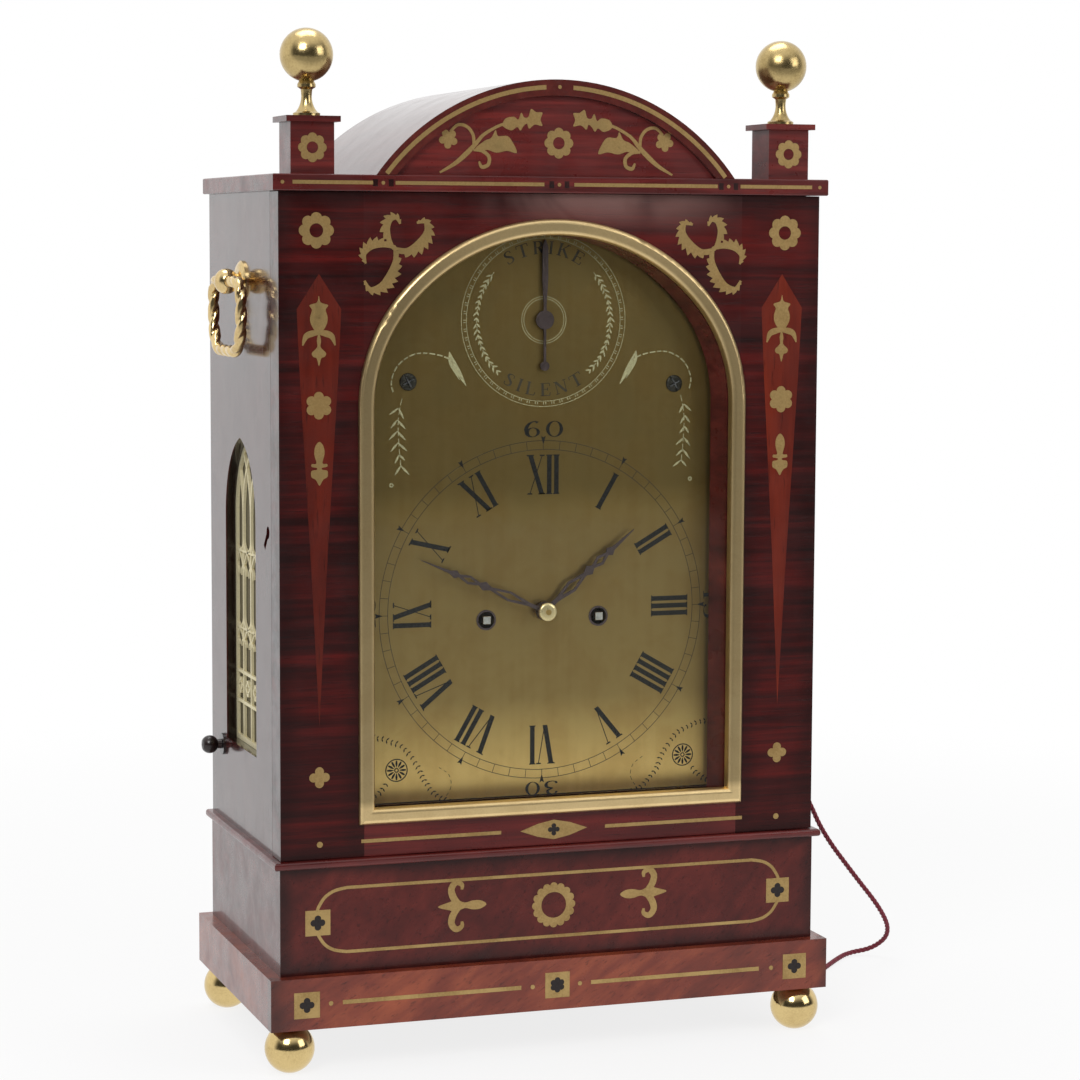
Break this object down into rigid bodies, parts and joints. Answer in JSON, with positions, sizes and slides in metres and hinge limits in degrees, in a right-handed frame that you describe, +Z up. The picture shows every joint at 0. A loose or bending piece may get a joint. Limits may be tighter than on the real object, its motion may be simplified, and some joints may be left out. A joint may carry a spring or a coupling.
{
  "type": "bracket clock",
  "caption": "Bracket clock with brass inlaid mahogany case, arched brass dial behind a glazed door, barrel roof, ball finials, side handles and frets, and a fusee movement.",
  "frame": {"origin": "on the table under the middle of the plinth", "axes": "+Z up, -Y the dial side, +X the right hand side seen from the front"},
  "size_m": [0.4297, 0.1684, 0.5419],
  "materials": {
    "mahogany": "polished crimson mahogany veneer",
    "oak": "plain oak, darkened",
    "turned_wood": "ebonised turned wood",
    "gilt_brass": "lacquered, polished",
    "brass": "satin",
    "dial_brass": "aged satin, engraved",
    "bell_metal": "turned bell metal",
    "steel": "grained",
    "blued_steel": "blued",
    "glass": "clear",
    "silk": "plain weave silk",
    "cord": "twisted crimson cord"
  },
  "bodies": {
    "case": {"plinth_frame": "mahogany", "bottom_board": "oak", "base_frame": "mahogany", "base_moulding": "mahogany", "ball_feet": "gilt_brass", "side_panel_left": "mahogany", "side_panel_right": "mahogany", "side_frets": "brass", "fret_silks": "silk", "cornice": "mahogany", "roof_shell": "mahogany", "tympana": "mahogany", "finial_pedestals": "mahogany", "finials": "gilt_brass", "case_hinge_leaves": "brass", "lock_case": "brass", "handle_bosses": "gilt_brass", "cord_bushes": "brass", "repeat_cord": "cord", "cord_toggle": "turned_wood", "dial_mask": "oak", "dial_plate": "dial_brass", "seat_board": "oak", "front_plate": "brass", "back_plate": "brass", "plate_pillars": "brass", "back_cock": "brass", "bell": "bell_metal", "bell_stand": "steel"},
    "front_door": {"front_stiles": "mahogany", "front_bottom_rail": "mahogany", "front_arched_head": "mahogany", "front_bezel": "gilt_brass", "front_glass": "glass", "front_hinge_leaves": "brass"},
    "back_door": {"back_door_frame": "mahogany", "back_glass": "glass", "back_hinge_leaves": "brass"},
    "back_latch": {"back_latch": "brass"},
    "lock_bolt": {"lock_bolt": "steel"},
    "handle_left": {"handle_left": "gilt_brass"},
    "handle_right": {"handle_right": "gilt_brass"},
    "repeat_knob": {"repeat_knob": "turned_wood"},
    "minute_arbor": {"centre_wheel": "brass", "minute_hand": "blued_steel"},
    "hour_pipe": {"hour_wheel": "brass", "hour_hand": "blued_steel"},
    "minute_wheel": {"minute_wheel": "brass"},
    "going_great_wheel": {"going_great_wheel": "brass"},
    "third_wheel": {"third_wheel": "brass"},
    "escape_wheel": {"escape_wheel": "brass"},
    "pallets": {"pallets_and_crutch": "steel"},
    "pendulum": {"pendulum": "brass"},
    "going_fusee": {"going_fusee": "brass"},
    "going_barrel": {"going_barrel": "brass"},
    "striking_fusee": {"striking_fusee": "brass"},
    "striking_barrel": {"striking_barrel": "brass"},
    "strike_pin_wheel": {"strike_pin_wheel": "brass"},
    "strike_hammer": {"strike_hammer": "steel"},
    "strike_silent_hand": {"strike_silent_hand": "blued_steel"}
  },
  "joints": [
    {"name": "front_door_swing", "type": "hinge", "parent": "case", "child": "front_door", "pos_m": [0.1526, -0.06, 0.286], "axis": [0, 0, 1], "range_deg": [0, 110]},
    {"name": "back_door_swing", "type": "hinge", "parent": "case", "child": "back_door", "pos_m": [-0.138, 0.0812, 0.286], "axis": [0, 0, 1], "range_deg": [0, 110]},
    {"name": "back_latch_turn", "type": "hinge", "parent": "back_door", "child": "back_latch", "pos_m": [0.121, 0.079, 0.286], "axis": [0, 1, 0], "range_deg": [0, 90]},
    {"name": "lock_bolt_slide", "type": "slide", "parent": "case", "child": "lock_bolt", "axis": [0, -1, 0], "range_m": [0, 0.005]},
    {"name": "handle_left_swing", "type": "hinge", "parent": "case", "child": "handle_left", "pos_m": [-0.1584, 0.001, 0.412], "axis": [0, 1, 0], "range_deg": [0, 100]},
    {"name": "handle_right_swing", "type": "hinge", "parent": "case", "child": "handle_right", "pos_m": [0.1584, 0.001, 0.412], "axis": [0, -1, 0], "range_deg": [0, 100]},
    {"name": "repeat_knob_pull", "type": "slide", "parent": "case", "child": "repeat_knob", "axis": [-1, 0, 0], "range_m": [0, 0.022], "stiffness_N_per_m": 20},
    {"name": "minute_arbor_turn", "type": "hinge", "parent": "case", "child": "minute_arbor", "pos_m": [0, -0.06, 0.237], "axis": [0, 1, 0], "continuous": true},
    {"name": "hour_pipe_turn", "type": "hinge", "parent": "case", "child": "hour_pipe", "pos_m": [0, -0.06, 0.237], "axis": [0, 1, 0], "continuous": true},
    {"name": "minute_wheel_turn", "type": "hinge", "parent": "case", "child": "minute_wheel", "pos_m": [0, -0.046, 0.215], "axis": [0, 1, 0], "continuous": true},
    {"name": "going_great_wheel_turn", "type": "hinge", "parent": "case", "child": "going_great_wheel", "pos_m": [0.0318, 0.01, 0.2328], "axis": [0, 1, 0], "continuous": true},
    {"name": "third_wheel_turn", "type": "hinge", "parent": "case", "child": "third_wheel", "pos_m": [0.01, -0.02, 0.261], "axis": [0, 1, 0], "continuous": true},
    {"name": "escape_wheel_turn", "type": "hinge", "parent": "case", "child": "escape_wheel", "pos_m": [0, 0, 0.2806], "axis": [0, 1, 0], "continuous": true},
    {"name": "pendulum_swing", "type": "hinge", "parent": "case", "child": "pendulum", "pos_m": [0, 0.0305, 0.3024], "axis": [0, 1, 0], "range_deg": [-4, 4]},
    {"name": "pallets_rock", "type": "hinge", "parent": "case", "child": "pallets", "pos_m": [0, 0, 0.3024], "axis": [0, 1, 0], "range_deg": [-4, 4]},
    {"name": "going_fusee_wind", "type": "hinge", "parent": "case", "child": "going_fusee", "pos_m": [0.0318, 0, 0.2328], "axis": [0, 1, 0], "range_deg": [0, 5760]},
    {"name": "going_barrel_turn", "type": "hinge", "parent": "case", "child": "going_barrel", "pos_m": [0.042, 0, 0.178], "axis": [0, 1, 0], "range_deg": [0, 3796.9]},
    {"name": "striking_fusee_wind", "type": "hinge", "parent": "case", "child": "striking_fusee", "pos_m": [-0.0318, 0, 0.2328], "axis": [0, 1, 0], "range_deg": [0, 5760]},
    {"name": "striking_barrel_turn", "type": "hinge", "parent": "case", "child": "striking_barrel", "pos_m": [-0.042, 0, 0.178], "axis": [0, 1, 0], "range_deg": [0, 3796.9]},
    {"name": "strike_pin_wheel_turn", "type": "hinge", "parent": "case", "child": "strike_pin_wheel", "pos_m": [-0.05131, 0, 0.25689], "axis": [0, 1, 0], "range_deg": [-56160, 0]},
    {"name": "strike_hammer_lift", "type": "hinge", "parent": "case", "child": "strike_hammer", "pos_m": [-0.058, 0, 0.292], "axis": [0, 1, 0], "range_deg": [-8, 0], "stiffness_Nm_per_rad": 0.05},
    {"name": "strike_silent_turn", "type": "hinge", "parent": "case", "child": "strike_silent_hand", "pos_m": [0, -0.058, 0.3924], "axis": [0, 1, 0], "range_deg": [0, 180]}
  ],
  "couplings": [
    {"joint": "hour_pipe_turn", "follows": "minute_arbor_turn", "ratio": 0.083333},
    {"joint": "minute_wheel_turn", "follows": "minute_arbor_turn", "ratio": -1},
    {"joint": "going_great_wheel_turn", "follows": "minute_arbor_turn", "ratio": -0.083333},
    {"joint": "third_wheel_turn", "follows": "minute_arbor_turn", "ratio": -12},
    {"joint": "escape_wheel_turn", "follows": "minute_arbor_turn", "ratio": 132},
    {"joint": "pallets_rock", "follows": "pendulum_swing", "ratio": 1},
    {"joint": "going_barrel_turn", "follows": "going_fusee_wind", "ratio": 0.65909},
    {"joint": "striking_barrel_turn", "follows": "striking_fusee_wind", "ratio": 0.65909},
    {"joint": "strike_pin_wheel_turn", "follows": "striking_fusee_wind", "ratio": -9.75}
  ]
}
